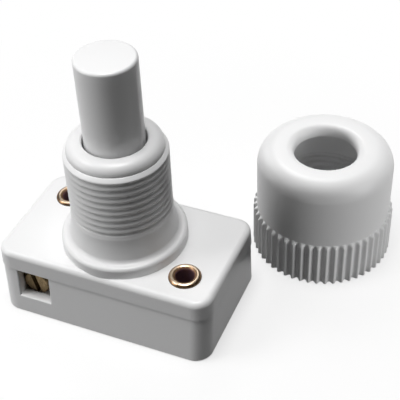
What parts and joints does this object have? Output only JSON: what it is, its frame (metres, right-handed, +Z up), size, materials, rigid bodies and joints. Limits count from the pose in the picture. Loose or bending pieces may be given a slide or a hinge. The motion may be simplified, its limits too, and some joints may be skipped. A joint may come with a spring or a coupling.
{
  "type": "pushbutton switch",
  "caption": "Small white lamp push switch: a shallow riveted housing with a threaded neck, a long round spring-return button and a loose knurled cap nut.",
  "frame": {"origin": "centre of the housing's underside, below the neck's axis", "axes": "+Z up along the neck and the button, +X along the housing's long side, -Y out of the front wiring window"},
  "size_m": [0.0455, 0.0374, 0.0371],
  "materials": {
    "white_moulding": "glossy white moulded plastic",
    "white_button": "glossy white moulded plastic",
    "white_nut": "glossy white moulded plastic",
    "rotor_moulding": "dark satin moulded plastic",
    "contact_brass": "plain rolled brass",
    "screw_brass": "dull turned brass",
    "rivet_copper": "coppered brass, browned",
    "steel": "plain drawn steel"
  },
  "bodies": {
    "housing": {"base_tray": "white_moulding", "top_cover": "white_moulding", "axle_pin": "steel", "return_spring": "steel", "terminal_left": "contact_brass", "terminal_right": "contact_brass", "terminal_screw_left": "screw_brass", "terminal_screw_right": "screw_brass", "eyelet_front": "rivet_copper", "eyelet_back": "rivet_copper", "fixing_nut": "white_nut"},
    "button": {"push_button": "white_button"},
    "rotor": {"ratchet_rotor": "rotor_moulding", "contact_bridge": "contact_brass"}
  },
  "joints": [
    {"name": "button_slide", "type": "slide", "parent": "housing", "child": "button", "axis": [0, 0, -1], "range_m": [0, 0.004], "stiffness_N_per_m": 300, "springref_m": -0.008, "deforming": ["return_spring"]},
    {"name": "rotor_turn", "type": "hinge", "parent": "housing", "child": "rotor", "pos_m": [0, 0, 0.0046], "axis": [0, 0, 1], "range_deg": [0, 84.1]}
  ],
  "couplings": [
    {"joint": "rotor_turn", "follows": "button_slide", "rad_per_m": 366.52}
  ]
}
